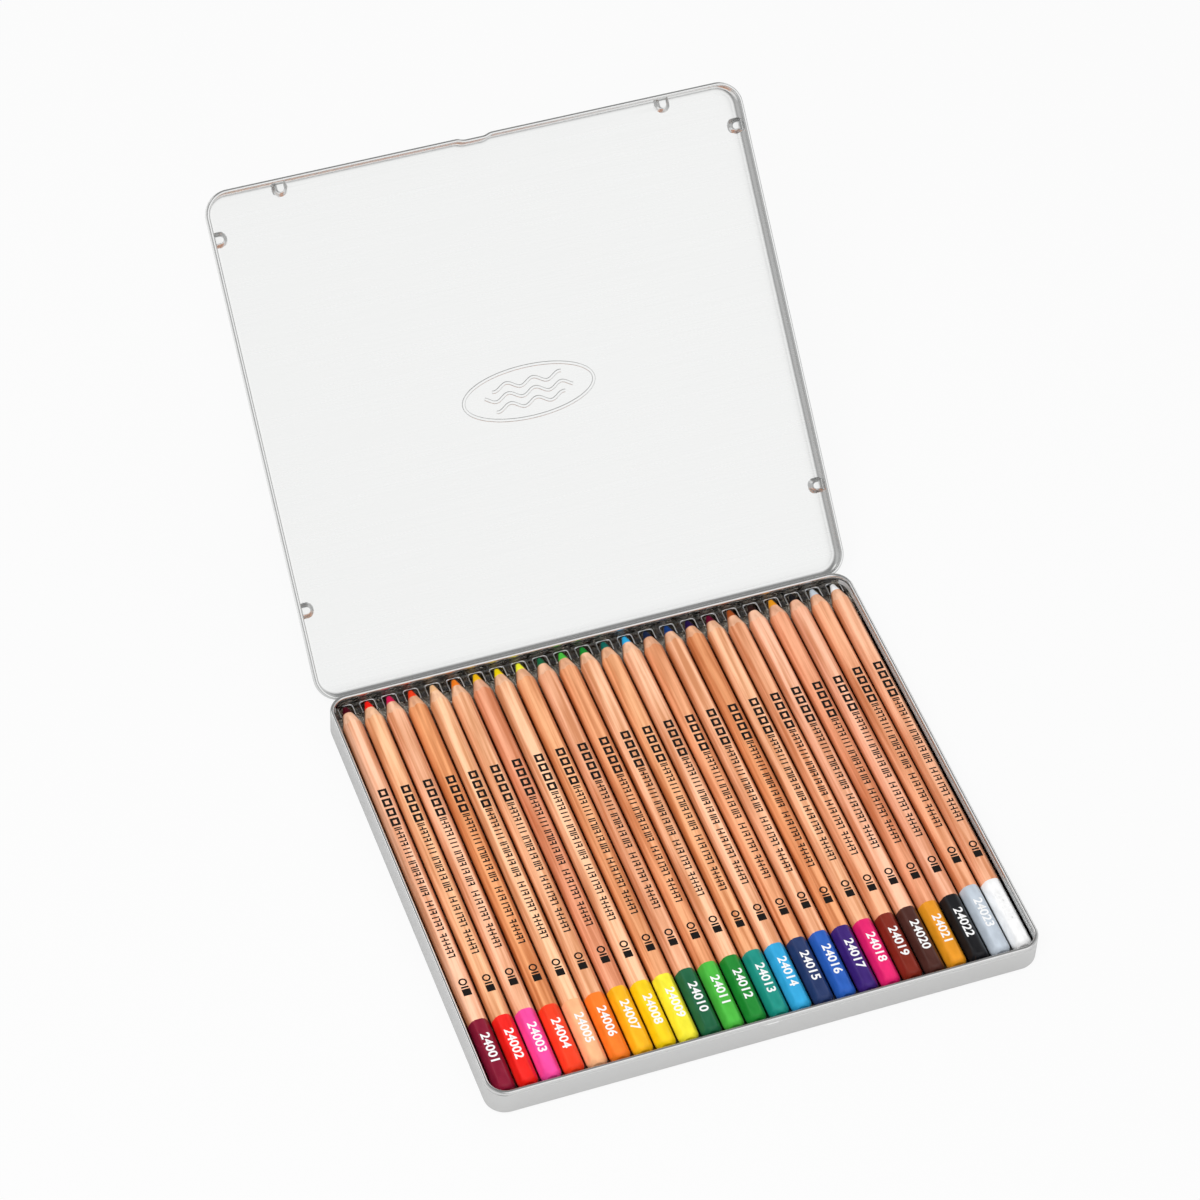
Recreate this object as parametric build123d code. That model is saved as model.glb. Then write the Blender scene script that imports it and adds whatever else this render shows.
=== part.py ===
from build123d import *
import math
import os

# Flat hinged tin of watercolour pencils, lid open, in millimetres.
# X runs along the tin's width, Y from the front to the hinge, Z up.
# The origin is the middle of the underside of the base.

# Tinplate
sheet = 0.3
base_bead = 0.77
corner_radius = 7.5
floor_radius = 1.5
bend_error = 0.06
lid_bead = 0.72
rim_mouth = 0.19
lid_edge = 3.0

# Pencils
pencil_count = 24
pencil_pitch = 8.14
pencil_length = 175.0
across_flats = 6.8
lead_radius = 1.95
lead_fit = 0.01
tip_radius = 0.8
sharpening = 0.3
end_bevel = 1.1
dip_thickness = 0.2
round_sides = 12

# Tray of clear formed sheet
tray_sheet = 0.3
tray_top = 3.55
tray_ridge = 1.2
tray_wall_top = 9.8
tray_draft = 0.6
tray_gap = 0.7
tip_cell_floor = 1.9
tip_cell_top = 2.55
tip_ridge_top = 7.8
tip_gap = 0.15

# Room round the pencils
seat_gap = 0.05
side_room = 0.825
row_offset = 0.5
nose_room = 0.56
butt_room = 2.36
rim_room = 1.6

# Lid on base
lid_overlap = 3.5
lid_height = 5.5
side_gap = 0.2
rear_gap = 0.25
front_gap = 1.15
open_angle = 136.07

# Thumb bow in the lid's front rim
bow_depth = 0.8
bow_ease = 4.0
bow_straight = 6.0

# Catch pressed out of the base's front wall
catch_gap = 0.05
catch_width = 5.3
catch_height = 2.6
catch_below_bead = 0.15
catch_edge = 0.12

# Stops pressed into the lid
lug_gap = 0.05
lug_width = 5.5
lug_reach = 5.0
lug_bevel = 0.8
lug_setback = 0.4
side_lug_from_hinge = 33.0
side_lug_spacing = 134.8
front_lug_spacing = 145.0

# Hinge
wire_radius = 0.35
leaf_sheet = 0.3
leaf_width = 12.0
leaf_spacing = 62.0
leaf_foot = 3.5
leaf_joggle_height = 0.8
leaf_joggle_drop = 1.6
leaf_mouth = 0.06
window_gap = 0.3
window_height = 0.36

# Sizes that follow
corner_reach = across_flats / math.sqrt(3)
row_width = pencil_pitch * (pencil_count - 1) + 2 * corner_reach
base_width = row_width + 2 * side_room + 4 * base_bead
base_depth = pencil_length + nose_room + butt_room + 4 * base_bead
pencil_axis_z = tray_top + seat_gap + across_flats / 2
base_height = pencil_axis_z + across_flats / 2 + rim_room
tip_y = base_depth / 2 - 2 * base_bead - nose_room
butt_y = tip_y - pencil_length
apex_y = tip_y + tip_radius / sharpening
cone_foot_y = apex_y - lead_radius / sharpening
lid_corner_radius = corner_radius + side_gap + 2 * lid_bead
hinge_y = base_depth / 2 + rear_gap + lid_bead
hinge_z = base_height - lid_overlap + lid_bead
lid_width = base_width + 2 * (side_gap + 2 * lid_bead)
lid_rear_y = hinge_y + lid_bead
lid_front_y = -base_depth / 2 - front_gap - 2 * lid_bead
lid_depth = lid_rear_y - lid_front_y
lid_middle_y = (lid_rear_y + lid_front_y) / 2
lid_top_z = base_height - lid_overlap + lid_height
lug_height = lid_height - sheet - lid_overlap - lug_gap
catch_depth = front_gap - bow_depth - catch_gap
hinge_axis = Axis((0, hinge_y, hinge_z), (1, 0, 0))


def straight(length):
    return (length, 0)


def turn(radius, degrees):
    """A bend of an outline: degrees are positive to the left, which is inwards."""
    return (radius, degrees)


def outline(runs, start_x, start_y, inset=0.0):
    """The edges of a level outline, walked anticlockwise along its front first and moved inwards by inset."""
    x, y, heading = start_x, start_y + inset, 0.0
    edges = []
    for size, degrees in runs:
        ahead = math.radians(heading)
        if degrees == 0:
            end = (x + size * math.cos(ahead), y + size * math.sin(ahead))
            edges.append(Edge.make_line((x, y), end))
        else:
            side = math.copysign(1, degrees)
            radius = size - side * inset
            middle_x = x - side * radius * math.sin(ahead)
            middle_y = y + side * radius * math.cos(ahead)
            first = heading - side * 90
            arc = CenterArc((middle_x, middle_y), radius, first, degrees)
            edges.append(arc.edge())
            last = math.radians(first + degrees)
            end = (middle_x + radius * math.cos(last), middle_y + radius * math.sin(last))
            heading += degrees
        x, y = end
    return edges


def box_runs(width, depth, radius, front):
    """Straights and turns of a rounded box outline; front lists those of its front edge, from the left."""
    side = straight(depth - 2 * radius)
    rear = straight(width - 2 * radius)
    corner = turn(radius, 90)
    return front + [corner, side, corner, rear, corner, side, corner]


def carried(section, runs, start_x, start_y):
    """A section, x inwards and y up, taken along every straight and round every turn of an outline."""
    body = None
    for edge, (size, degrees) in zip(outline(runs, start_x, start_y), runs):
        along = edge.tangent_at(0)
        inwards = Vector(0, 0, 1).cross(along)
        here = Plane(origin=edge.position_at(0), x_dir=inwards, z_dir=along)
        if degrees == 0:
            piece = extrude(here * section, amount=size, dir=along)
        else:
            upright = Axis(edge.arc_center, (0, 0, math.copysign(1, degrees)))
            piece = revolve(here * section, upright, revolution_arc=abs(degrees))
        body = piece if body is None else body + piece
    return body


def bend(middle, radius, first, swept):
    """Points round a bend of the sheet, in flats that leave the true arc by about bend_error."""
    flat_degrees = 2 * math.degrees(math.acos(1 - bend_error / radius))
    flats = max(2, round(abs(swept) / flat_degrees))
    angles = [math.radians(first + swept * n / flats) for n in range(flats + 1)]
    return [(middle[0] + radius * math.cos(a), middle[1] + radius * math.sin(a)) for a in angles]


def curl_sweep(bead, level, mouth):
    """Degrees a curl of outer radius bead turns until its end is mouth away from a face at level."""
    return 180 + math.degrees(math.acos((level + mouth) / bead))


def rolled_section(height, edge_radius, bead):
    """Sheet section from the edge of the flat, up the wall and round the curl that is rolled inwards."""
    foot = (edge_radius, edge_radius)
    curl = (bead, height - bead)
    sweep = curl_sweep(bead, sheet - bead, rim_mouth)
    return make_face(
        Polyline(
            *bend(foot, edge_radius, 180, 90),
            *bend(foot, edge_radius - sheet, 270, -90),
            *bend(curl, bead - sheet, 180, -sweep),
            *bend(curl, bead, 180 - sweep, sweep),
            close=True,
        )
    )


def rolled_pan(runs, start_x, start_y, height, edge_radius, bead):
    """A drawn pan: its flat, its rounded wall and its curled rim, with the open side up."""
    flat = extrude(Face(Wire(outline(runs, start_x, start_y, edge_radius))), amount=sheet, dir=(0, 0, 1))
    return flat + carried(rolled_section(height, edge_radius, bead), runs, start_x, start_y)


def pressed_pad(width, height, depth, edge):
    """A pad raised on +Z from the XY plane, with its rim eased by edge."""
    pad = extrude(RectangleRounded(width, height, height / 2.5), amount=depth)
    return chamfer(pad.faces().sort_by(Axis.Z)[-1].edges(), edge)


def make_base_pan():
    start_x = -base_width / 2 + corner_radius
    front = [straight(base_width - 2 * corner_radius)]
    runs = box_runs(base_width, base_depth, corner_radius, front)
    pan = rolled_pan(runs, start_x, -base_depth / 2, base_height, floor_radius, base_bead)
    catch_z = base_height - 2 * base_bead - catch_below_bead - catch_height / 2
    face = Plane(origin=(0, -base_depth / 2, catch_z), x_dir=(1, 0, 0), z_dir=(0, -1, 0))
    behind = Plane(origin=(0, -base_depth / 2 + sheet, catch_z), x_dir=(1, 0, 0), z_dir=(0, -1, 0))
    raised = pressed_pad(catch_width, catch_height, catch_depth, catch_edge)
    hollow = pressed_pad(catch_width - sheet, catch_height - sheet, catch_depth, catch_edge)
    return pan + face * raised - behind * hollow


def lug_form(width, reach, height, bevel):
    """A stop with a half-round nose towards -X and a bevelled foot, standing on the XY plane."""
    nose = Pos(-reach + width / 2, 0) * Circle(width / 2)
    body = Pos((-reach + width / 2) / 2, 0) * Rectangle(reach - width / 2, width)
    form = extrude(nose + body, amount=height)
    return chamfer(form.faces().sort_by(Axis.Z)[-1].edges(), bevel)


def above_lid_edge(reach):
    """The room above the lid's rounded edge, in the frame of a stop that reaches in from it."""
    outer_face = sheet + lug_setback
    side = Plane(origin=(0, lug_width / 2, 0), x_dir=(1, 0, 0), z_dir=(0, -1, 0))
    section = Polyline(
        *bend((outer_face - lid_edge, lid_edge), lid_edge, 0, -90),
        (-reach, 0),
        (-reach, lid_edge),
        close=True,
    )
    return extrude(side * make_face(section), amount=lug_width)


def make_lid_flat():
    """The lid on its back: outer face of the panel at z = 0, rim up, hinge side towards +Y."""
    start_x = -lid_width / 2 + lid_corner_radius
    start_y = -lid_depth / 2
    bow_angle = 2 * math.degrees(math.atan(bow_depth / bow_ease))
    bow_radius = bow_ease / 2 / math.sin(math.radians(bow_angle))
    bow_in = [turn(bow_radius, bow_angle), turn(bow_radius, -bow_angle)]
    bow_out = [turn(bow_radius, -bow_angle), turn(bow_radius, bow_angle)]
    beside_bow = straight((lid_width - bow_straight) / 2 - lid_corner_radius - bow_ease)
    front = [beside_bow, *bow_in, straight(bow_straight), *bow_out, beside_bow]
    runs = box_runs(lid_width, lid_depth, lid_corner_radius, front)
    lid = rolled_pan(runs, start_x, start_y, lid_height, lid_edge, lid_bead)
    wall = lid_width / 2 - sheet - lug_setback
    front_wall = lid_depth / 2 - sheet - lug_setback
    hinge_from_middle = lid_depth / 2 - lid_bead
    reach = lug_reach + 2 * lid_bead - sheet - lug_setback
    seats = []
    for side in (-1, 1):
        turned = 0 if side > 0 else 180
        for back in (side_lug_from_hinge, side_lug_from_hinge + side_lug_spacing):
            seats.append(Location((side * wall, hinge_from_middle - back, 0), (0, 0, turned)))
        seats.append(Location((side * front_lug_spacing / 2, -front_wall, 0), (0, 0, -90)))
    lug = lug_form(lug_width, reach, sheet + lug_height, lug_bevel) & above_lid_edge(reach)
    hollow = Pos(-sheet, 0) * lug_form(lug_width - 2 * sheet, reach - 2 * sheet, lug_height, lug_bevel)
    for seat in seats:
        lid = lid + seat * lug - seat * hollow
    window_top = lid_height - 2 * lid_bead - window_height
    window = Box(
        leaf_width + 2 * window_gap,
        2 * lid_bead + sheet,
        lid_height - window_top,
        align=(Align.CENTER, Align.MAX, Align.MIN),
    )
    for x in (-leaf_spacing, 0, leaf_spacing):
        lid -= Pos(x, lid_depth / 2 + sheet / 2, window_top) * window
    return lid


def make_lid():
    """The lid turned over onto the base, then swung open about the wire."""
    closed = Pos(0, lid_middle_y, lid_top_z) * (Rot(0, 180, 0) * make_lid_flat())
    return closed.rotate(hinge_axis, -open_angle)


def make_hinge_wire():
    half = lid_width / 2 - lid_corner_radius
    start = Plane(origin=(-half, hinge_y, hinge_z), x_dir=(0, 1, 0), z_dir=(1, 0, 0))
    return extrude(start * Circle(wire_radius), amount=2 * half, dir=(1, 0, 0))


def make_leaf(x):
    """A strip on the rear wall, stepped out and curled round the wire."""
    outer = lid_bead
    inner = outer - leaf_sheet
    wall = base_depth / 2 - hinge_y
    step_top = -leaf_joggle_drop
    step_foot = step_top - leaf_joggle_height
    foot = leaf_foot - hinge_z
    sweep = curl_sweep(outer, -inner, leaf_mouth)
    section = make_face(
        Polyline(
            (wall, foot),
            (wall, step_foot),
            (-outer, step_top),
            *bend((0, 0), outer, 180, -sweep),
            *bend((0, 0), inner, 180 - sweep, sweep),
            (-inner, step_top),
            (wall + leaf_sheet, step_foot),
            (wall + leaf_sheet, foot),
            close=True,
        )
    )
    side = Plane(origin=(x - leaf_width / 2, hinge_y, hinge_z), x_dir=(0, 1, 0), z_dir=(1, 0, 0))
    return extrude(side * section, amount=leaf_width, dir=(1, 0, 0))


def pencil_x(place):
    return row_offset + pencil_pitch * (place - (pencil_count - 1) / 2)


def wave(floor_half, top_half, top_z):
    """Top line of the tray's sheet across the row: a flat-floored groove under every pencil."""
    points = []
    for place in range(pencil_count):
        x = pencil_x(place)
        points += [(x - top_half, top_z), (x - floor_half, tray_top)]
        points += [(x + floor_half, tray_top), (x + top_half, top_z)]
    far = base_width
    return [(-far, top_z), *points, (far, top_z)]


def sheet_band(line, first_y, last_y):
    """A wave of sheet from first_y to last_y; drawn sides are thinner than the flats, as formed sheet is."""
    under = [(x, z - tray_sheet) for x, z in reversed(line)]
    across = Plane(origin=(0, first_y, 0), x_dir=(1, 0, 0), z_dir=(0, -1, 0))
    section = across * make_face(Polyline(*line, *under, close=True))
    return extrude(section, amount=last_y - first_y, dir=(0, 1, 0))


def tray_block(inset):
    """The tray's drafted outside, moved inwards by inset, from the tin's floor to its wall tops."""
    inwards = sheet + tray_gap + tray_draft + inset
    width = base_width - 2 * inwards
    depth = base_depth - 2 * inwards
    rise = tray_wall_top - sheet
    slant = math.degrees(math.atan(tray_draft / rise))
    foot = Pos(0, 0, sheet) * RectangleRounded(width, depth, corner_radius - inwards)
    return extrude(foot, amount=rise, taper=-slant)


def make_tray():
    slope = math.tan(math.radians(60))
    floor_half = corner_reach / 2 + seat_gap / slope
    top_half = (pencil_pitch - tray_ridge) / 2
    ridge_z = tray_top + (top_half - floor_half) * slope
    barrel_line = wave(floor_half, top_half, ridge_z)
    tip_line = wave(tip_cell_floor, tip_cell_top, tip_ridge_top)
    share = (pencil_axis_z - tray_top) / (tip_ridge_top - tray_top)
    cell_at_axis = tip_cell_floor + share * (tip_cell_top - tip_cell_floor)
    step_y = apex_y - (cell_at_axis - tip_gap) / sharpening
    far = base_depth / 2
    barrel_under = [(x, z - tray_sheet) for x, z in reversed(barrel_line)]
    across = Plane(origin=(0, step_y, 0), x_dir=(1, 0, 0), z_dir=(0, -1, 0))
    riser_face = across * make_face(Polyline(*tip_line, *barrel_under, close=True))
    riser = extrude(riser_face, amount=tray_sheet, dir=(0, 1, 0))
    bands = sheet_band(barrel_line, -far, step_y + tray_sheet) + sheet_band(tip_line, step_y, far) + riser
    outside = tray_block(0)
    return (outside - tray_block(tray_sheet)) + (bands & outside)


def along_pencil(face, start_y, end_y):
    """A face centred on the pencil's axis, drawn out from start_y to end_y."""
    start = Plane(origin=(0, start_y, pencil_axis_z), x_dir=(-1, 0, 0), z_dir=(0, 1, 0))
    return extrude(start * face, amount=end_y - start_y)


def rounded_face(radius):
    """A round face, drawn with few sides because there are many pencils."""
    return RegularPolygon(radius, round_sides, major_radius=False, rotation=180 / round_sides)


def sharpened(blank):
    """The blank with its end cut to a cone, one slanting cut for each side of the round."""
    lean = math.atan(sharpening)
    for side in range(round_sides):
        angle = 2 * math.pi * side / round_sides
        out = (math.cos(angle) * math.cos(lean), math.sin(lean), math.sin(angle) * math.cos(lean))
        cut = Plane(origin=(0, apex_y, pencil_axis_z), z_dir=out)
        blank = split(blank, bisect_by=cut, keep=Keep.BOTTOM)
    return blank


def make_barrel():
    """Hexagonal wood, bevelled at the dipped end and sharpened to the lead, which leaves scalloped flats."""
    hexagon = along_pencil(RegularPolygon(corner_reach, 6), butt_y, cone_foot_y)
    bevelled = chamfer(hexagon.faces().sort_by(Axis.Y)[0].edges(), end_bevel)
    bore = along_pencil(rounded_face(lead_radius + lead_fit), butt_y + dip_thickness, tip_y)
    return sharpened(bevelled) - bore


def make_lead():
    """The coloured core, bare past the wood and worn blunt at its point."""
    return sharpened(along_pencil(rounded_face(lead_radius), butt_y + dip_thickness, tip_y))


def write(name, shape):
    """One rigid piece of the set, in the file of its own name."""
    solids = shape.solids()
    if len(solids) != 1:
        print(name, "has", len(solids), "solids")
    export_step(solids[0], f"parts/{name}.step")


os.makedirs("parts", exist_ok=True)
write("base_pan", make_base_pan())
write("pencil_tray", make_tray())
write("lid", make_lid())
write("hinge_wire", make_hinge_wire())
for name, x in (("left", -leaf_spacing), ("centre", 0), ("right", leaf_spacing)):
    write(f"hinge_leaf_{name}", make_leaf(x))
barrel = make_barrel()
lead = make_lead()
for place in range(pencil_count):
    write(f"pencil_{place + 1:02d}_barrel", Pos(pencil_x(place)) * barrel)
    write(f"pencil_{place + 1:02d}_lead", Pos(pencil_x(place)) * lead)
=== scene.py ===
# %% [markdown]
# # A hinged tin of watercolour pencils
#
# The object is a flat box of thin tinplate. A clear formed tray lies in it, and twenty-four pencils
# lie in the tray. The lid stands open on its hinge. The shapes come from a CAD model, and this
# lesson gives them their looks. It starts by loading that model as a fixed frame, because every
# piece made here has to sit exactly where the frame says.

# %% Load the frame
import math

import bmesh
import bpy
import numpy as np
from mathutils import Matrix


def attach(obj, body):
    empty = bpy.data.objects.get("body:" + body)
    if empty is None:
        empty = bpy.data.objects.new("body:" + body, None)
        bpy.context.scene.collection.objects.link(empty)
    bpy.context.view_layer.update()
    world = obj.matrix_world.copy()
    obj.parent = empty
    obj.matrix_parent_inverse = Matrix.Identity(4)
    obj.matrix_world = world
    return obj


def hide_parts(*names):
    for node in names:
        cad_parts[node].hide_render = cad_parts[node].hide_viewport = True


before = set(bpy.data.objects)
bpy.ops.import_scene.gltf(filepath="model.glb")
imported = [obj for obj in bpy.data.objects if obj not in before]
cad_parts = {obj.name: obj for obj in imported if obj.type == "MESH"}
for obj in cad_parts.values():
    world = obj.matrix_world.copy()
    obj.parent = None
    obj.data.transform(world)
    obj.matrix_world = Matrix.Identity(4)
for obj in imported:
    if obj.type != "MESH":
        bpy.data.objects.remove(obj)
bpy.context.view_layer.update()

# %% [markdown]
# ## The camera
#
# The tin is seen from the front left and from well above, with the picture turned by about three
# degrees. A long lens keeps the pencils nearly parallel. The camera could be aimed with a Track To
# constraint, but a constraint hides the tilt of the picture. So its three axes are worked out here:
# forwards from the two angles, then sideways and upwards, both turned by the tilt.

# %% Place the camera
look_left = math.radians(22.196)
look_down = math.radians(48.216)
picture_tilt = math.radians(2.965)
eye = np.array([-0.38558, -0.86033, 1.18515])


def camera_axes(left, down, tilt):
    """Forwards is the compass direction times cos(down), and -sin(down) upwards; the other two are
    cross products with the upright, turned about the line of sight by tilt."""
    forwards = np.array(
        [math.sin(left) * math.cos(down), math.cos(left) * math.cos(down), -math.sin(down)]
    )
    level = np.cross(forwards, (0, 0, 1))
    level = level / np.linalg.norm(level)
    upwards = np.cross(level, forwards)
    across = level * math.cos(tilt) + upwards * math.sin(tilt)
    return across, np.cross(across, forwards), forwards


camera = bpy.data.objects.new("camera", bpy.data.cameras.new("camera"))
bpy.context.collection.objects.link(camera)
across, upwards, forwards = camera_axes(look_left, look_down, picture_tilt)
placed = np.eye(4)
placed[:3, 0] = across
placed[:3, 1] = upwards
placed[:3, 2] = -forwards
placed[:3, 3] = eye
camera.matrix_world = placed.T.tolist()
camera.data.lens = 129.65
camera.data.sensor_width = 36
camera.data.shift_x = 0.00193
camera.data.shift_y = -0.01077
camera.data.clip_end = 20
bpy.context.scene.camera = camera
bpy.context.scene.view_settings.view_transform = "Standard"
print("camera at", eye, "looking along", forwards.round(3))

# %% [markdown]
# ## Building node trees
#
# Every finish below is a small tree of shader nodes around one Principled shader. Made by hand, each
# node takes four or five lines, which hides the idea. Short helpers add a node with its settings and
# inputs in one line, where an input is either a plain number or the output of another node.


# %% Helpers for nodes
def add(tree, kind, inputs=(), **settings):
    """A new node; inputs pairs a socket's name or number with a value or with another node's output."""
    made = tree.nodes.new(kind)
    for key, value in settings.items():
        setattr(made, key, value)
    for key, value in dict(inputs).items():
        if isinstance(value, bpy.types.NodeSocket):
            tree.links.new(value, made.inputs[key])
        else:
            made.inputs[key].default_value = value
    return made


def finish_of(name, **values):
    """A material with one Principled shader whose plain values are set on its own sockets."""
    material = bpy.data.materials.new(name)
    material.use_nodes = True
    shader = material.node_tree.nodes["Principled BSDF"]
    for key, value in values.items():
        shader.inputs[key.replace("_", " ")].default_value = value
    return material, material.node_tree, shader


def streaks(tree, size_mm, detail=2.0):
    """Noise whose features have the three given sizes in millimetres along X, Y and Z."""
    place = add(tree, "ShaderNodeTexCoord").outputs["Object"]
    scale = tuple(1000 / size for size in size_mm)
    spread = add(tree, "ShaderNodeMapping", {"Vector": place, "Scale": scale})
    noise = add(
        tree, "ShaderNodeTexNoise", {"Vector": spread.outputs[0], "Scale": 1.0, "Detail": detail}
    )
    return noise.outputs["Fac"]


def between(tree, factor, low, high, start=0.0, end=1.0, **settings):
    """A number that goes from low to high while the factor goes from start to end."""
    inputs = {"Value": factor, "From Min": start, "From Max": end, "To Min": low, "To Max": high}
    return add(tree, "ShaderNodeMapRange", inputs, **settings).outputs["Result"]


def calculate(tree, operation, first, second=0.0):
    """The output of one Math node. An operation on one number, such as ABSOLUTE, needs no second."""
    return add(tree, "ShaderNodeMath", {0: first, 1: second}, operation=operation).outputs[0]


def blend_colours(tree, factor, first, second, mode="MIX"):
    """One colour over another; each is a colour or another node's output."""
    mixed = add(tree, "ShaderNodeMix", data_type="RGBA", blend_type=mode)
    for number, value in ((0, factor), (6, first), (7, second)):
        if isinstance(value, bpy.types.NodeSocket):
            tree.links.new(value, mixed.inputs[number])
        else:
            mixed.inputs[number].default_value = value
    return mixed.outputs[2]


def bump(tree, shader, height, distance_mm, strength=1.0):
    """Tilts the shading as if the surface rose by distance_mm where height is one."""
    inputs = {"Height": height, "Distance": distance_mm / 1000, "Strength": strength}
    made = add(tree, "ShaderNodeBump", inputs)
    tree.links.new(made.outputs["Normal"], shader.inputs["Normal"])


print("node helpers ready")

# %% [markdown]
# ## The room that metal mirrors
#
# The tin stands in a bright studio. Polished metal has no colour of its own and shows the room
# instead, so the room matters more here than on wood or paint. A white room alone would make the
# metal vanish. So the sky that metal mirrors is a dim grey, paler towards both sides, with one wide
# bright screen at the front, which the open lid faces. Two small patches behind the tin draw fine
# light lines on rounded edges, above all on the clear tray. A Light Path node tells the rays apart:
# the camera sees plain white, and plain surfaces are lit by a sky that is brightest overhead, so
# that tops are lighter than flanks.

# %% The sky
world = bpy.data.worlds.new("studio")
bpy.context.scene.world = world
world.use_nodes = True
sky = world.node_tree
sky.nodes.clear()
path = add(sky, "ShaderNodeLightPath").outputs
mirrored = calculate(sky, "MAXIMUM", path["Is Glossy Ray"], path["Is Transmission Ray"])
direction = add(sky, "ShaderNodeTexCoord").outputs["Generated"]
parts = add(sky, "ShaderNodeSeparateXYZ", {0: direction}).outputs
upness = parts["Z"]
room = between(sky, upness, 0.12, 0.26, 0.0, 0.6)
sideness = calculate(sky, "ABSOLUTE", parts["X"])
patches = [between(sky, sideness, 0.0, 0.35, 0.40, 0.80)]
# For the screen and each patch: the direction of its middle, the cosine of the angle where its light
# begins and where it is full, and its strength.
for towards, edge, core, strength in (
    ((0.25, -0.72, 0.64), 0.72, 0.96, 0.86),
    ((-0.52, 0.617, 0.589), 0.960, 0.990, 1.3),
    ((0.68, 0.617, 0.40), 0.960, 0.990, 0.9),
):
    facing = add(sky, "ShaderNodeVectorMath", {0: direction, 1: towards}, operation="DOT_PRODUCT")
    facing = facing.outputs["Value"]
    patches.append(between(sky, facing, 0.0, strength, edge, core, interpolation_type="SMOOTHSTEP"))
for patch_light in patches:
    room = calculate(sky, "ADD", room, patch_light)
seen = add(sky, "ShaderNodeMix", {0: mirrored, 2: 1.0, 3: room}, data_type="FLOAT").outputs[0]
shown = calculate(sky, "MAXIMUM", path["Is Camera Ray"], mirrored)
overhead = between(sky, upness, 0.30, 1.05)
level = add(sky, "ShaderNodeMix", {0: shown, 2: overhead, 3: seen}, data_type="FLOAT").outputs[0]
light = add(sky, "ShaderNodeBackground", {"Color": (1, 1, 1, 1), "Strength": level})
add(sky, "ShaderNodeOutputWorld", {"Surface": light.outputs[0]})
print("sky with", len(patches), "lighter parts")

# %% [markdown]
# ## Floor and lamp
#
# The floor is light grey paper. For the camera nine tenths of it are a plain white glow, which gives
# a white ground and still leaves a trace of the tin's shadow. More light on the whole scene would
# whiten the ground too, but it would also wash out the colours. Mirrored rays meet the glow only at
# some distance from the tin, because the ground right beside it lies in its shadow. One large soft
# lamp at the front left brings plain surfaces to the level at which a colour renders as written.


# %% Lay the floor and hang the lamp
def flat_sheet(name, half_size, height):
    """A level square about the origin, with its corners at plus and minus half_size."""
    mesh = bpy.data.meshes.new(name)
    turns = ((-1, -1), (1, -1), (1, 1), (-1, 1))
    mesh.from_pydata([(x * half_size, y * half_size, height) for x, y in turns], [], [(0, 1, 2, 3)])
    made = bpy.data.objects.new(name, mesh)
    bpy.context.collection.objects.link(made)
    return made


floor = flat_sheet("floor", 4.0, -0.0001)
white_share = 0.9
tin_foot = (0.10, 0.09, 0)
shadow_full, shadow_gone = 0.006, 0.05
paper, tree, shader = finish_of("paper", Base_Color=(0.66, 0.66, 0.66, 1), Roughness=0.9)
shader.inputs["Specular IOR Level"].default_value = 0.0
path = add(tree, "ShaderNodeLightPath").outputs
direct = calculate(tree, "MAXIMUM", path["Is Camera Ray"], path["Is Transmission Ray"])
direct = calculate(tree, "MULTIPLY", direct, white_share)
place = add(tree, "ShaderNodeTexCoord").outputs["Object"]
outwards = add(tree, "ShaderNodeVectorMath", {0: place}, operation="ABSOLUTE").outputs[0]
outwards = add(tree, "ShaderNodeVectorMath", {0: outwards, 1: tin_foot}, operation="SUBTRACT")
outwards = add(tree, "ShaderNodeSeparateXYZ", {0: outwards.outputs[0]}).outputs
away = calculate(tree, "MAXIMUM", outwards["X"], outwards["Y"])
open_floor = between(tree, away, 0.0, white_share, shadow_full, shadow_gone)
open_floor = calculate(tree, "MULTIPLY", path["Is Glossy Ray"], open_floor)
share = calculate(tree, "MAXIMUM", direct, open_floor)
white = add(tree, "ShaderNodeEmission", {"Color": (1, 1, 1, 1), "Strength": 1.0})
both = add(tree, "ShaderNodeMixShader", {0: share, 1: shader.outputs[0], 2: white.outputs[0]})
tree.links.new(both.outputs[0], tree.nodes["Material Output"].inputs["Surface"])
floor.data.materials.append(paper)


def soft_lamp(name, place, size, watts):
    """A square lamp of the given size that faces the tin."""
    data = bpy.data.lights.new(name, "AREA")
    data.size = size
    data.energy = watts
    lamp = bpy.data.objects.new(name, data)
    lamp.location = place
    aim = np.array([0.0, 0.0, 0.02]) - np.array(place)
    lamp.rotation_euler = (
        math.acos(-aim[2] / np.linalg.norm(aim)),
        0,
        math.atan2(aim[1], aim[0]) - math.pi / 2,
    )
    lamp.visible_glossy = False
    lamp.visible_camera = False
    bpy.context.collection.objects.link(lamp)


soft_lamp("key_lamp", (-0.55, -0.65, 1.2), 0.7, 10)
print("floor and lamp ready")

# %% [markdown]
# ## Surfaces from arrays
#
# All new pieces are worked out in numpy. A shape is a grid of points, often a section carried round
# a path, and neighbours in the grid make its four-sided faces. The other way, adding and moving
# single vertices in a loop, is slow and hard to read. The points are in millimetres, as in a
# workshop drawing, and become metres only when the mesh is made.


# %% Helpers for surfaces
def grid_faces(rows, columns, wrap_rows=False, wrap_columns=False, first=0):
    """Four-sided faces between neighbours of a grid: corners (i, j), (i, j+1), (i+1, j+1), (i+1, j)."""
    i = np.arange(rows if wrap_rows else rows - 1)
    j = np.arange(columns if wrap_columns else columns - 1)
    i, j = (a.ravel() for a in np.meshgrid(i, j, indexing="ij"))
    i2 = (i + 1) % rows
    j2 = (j + 1) % columns
    corners = (i * columns + j, i * columns + j2, i2 * columns + j2, i2 * columns + j)
    return first + np.stack(corners, axis=1)


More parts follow.
